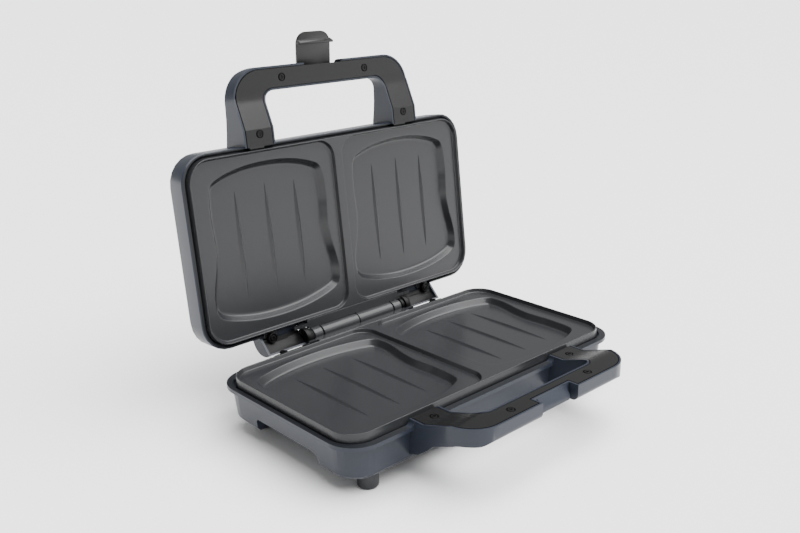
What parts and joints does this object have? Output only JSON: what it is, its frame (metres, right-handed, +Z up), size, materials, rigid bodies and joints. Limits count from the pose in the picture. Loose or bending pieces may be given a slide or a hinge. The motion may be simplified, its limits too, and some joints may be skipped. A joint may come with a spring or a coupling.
{
  "type": "sandwich toaster",
  "caption": "Countertop sandwich toaster with deep toastie pockets, open on its rear hinge, with loop handles and a swing-over latch.",
  "frame": {"origin": "middle of the open toaster's box, on the floor under its feet", "axes": "+X to the right along the hinge, +Y to the hinge, +Z up"},
  "size_m": [0.3006, 0.273, 0.2952],
  "materials": {
    "casing": "satin",
    "coated_casting": "satin non-stick coat",
    "dark_plastic": "satin",
    "black_plastic": "satin",
    "latch_plastic": "satin",
    "screw_steel": "blackened",
    "pin_steel": "bright",
    "foot_plastic": "satin",
    "sheath_steel": "heat dulled",
    "ceramic": "matte",
    "tray_steel": "bright",
    "lens_red": "gloss",
    "board": "matte"
  },
  "bodies": {
    "base": {"base_casing": "casing", "lower_plate": "coated_casting", "base_handle_cover": "dark_plastic", "base_handle_screws": "screw_steel", "base_hinge_covers": "black_plastic", "base_hinge_screws": "screw_steel", "feet": "foot_plastic", "hinge_pin": "pin_steel", "hinge_bushes": "black_plastic", "lower_element": "sheath_steel", "lower_element_ends": "ceramic", "lower_element_clips": "sheath_steel", "lower_reflector": "tray_steel", "thermostat": "ceramic", "thermal_fuse": "ceramic", "terminal_block": "ceramic"},
    "lid": {"lid_casing": "casing", "upper_plate": "coated_casting", "lid_handle_cover": "dark_plastic", "lid_handle_screws": "screw_steel", "lid_hinge_covers": "black_plastic", "lid_hinge_screws": "screw_steel", "upper_element": "sheath_steel", "upper_element_ends": "ceramic", "upper_element_clips": "sheath_steel", "upper_reflector": "tray_steel", "pilot_lenses": "lens_red", "lamp_holder": "board", "latch_pin": "pin_steel"},
    "latch": {"latch_clip": "latch_plastic"}
  },
  "joints": [
    {"name": "lid_hinge", "type": "hinge", "parent": "base", "child": "lid", "pos_m": [0, 0.0883, 0.0495], "axis": [1, 0, 0], "range_deg": [0, 96.7]},
    {"name": "latch_hinge", "type": "hinge", "parent": "lid", "child": "latch", "pos_m": [0, 0.12891, 0.26403], "axis": [1, 0, 0], "range_deg": [0, 82]}
  ]
}
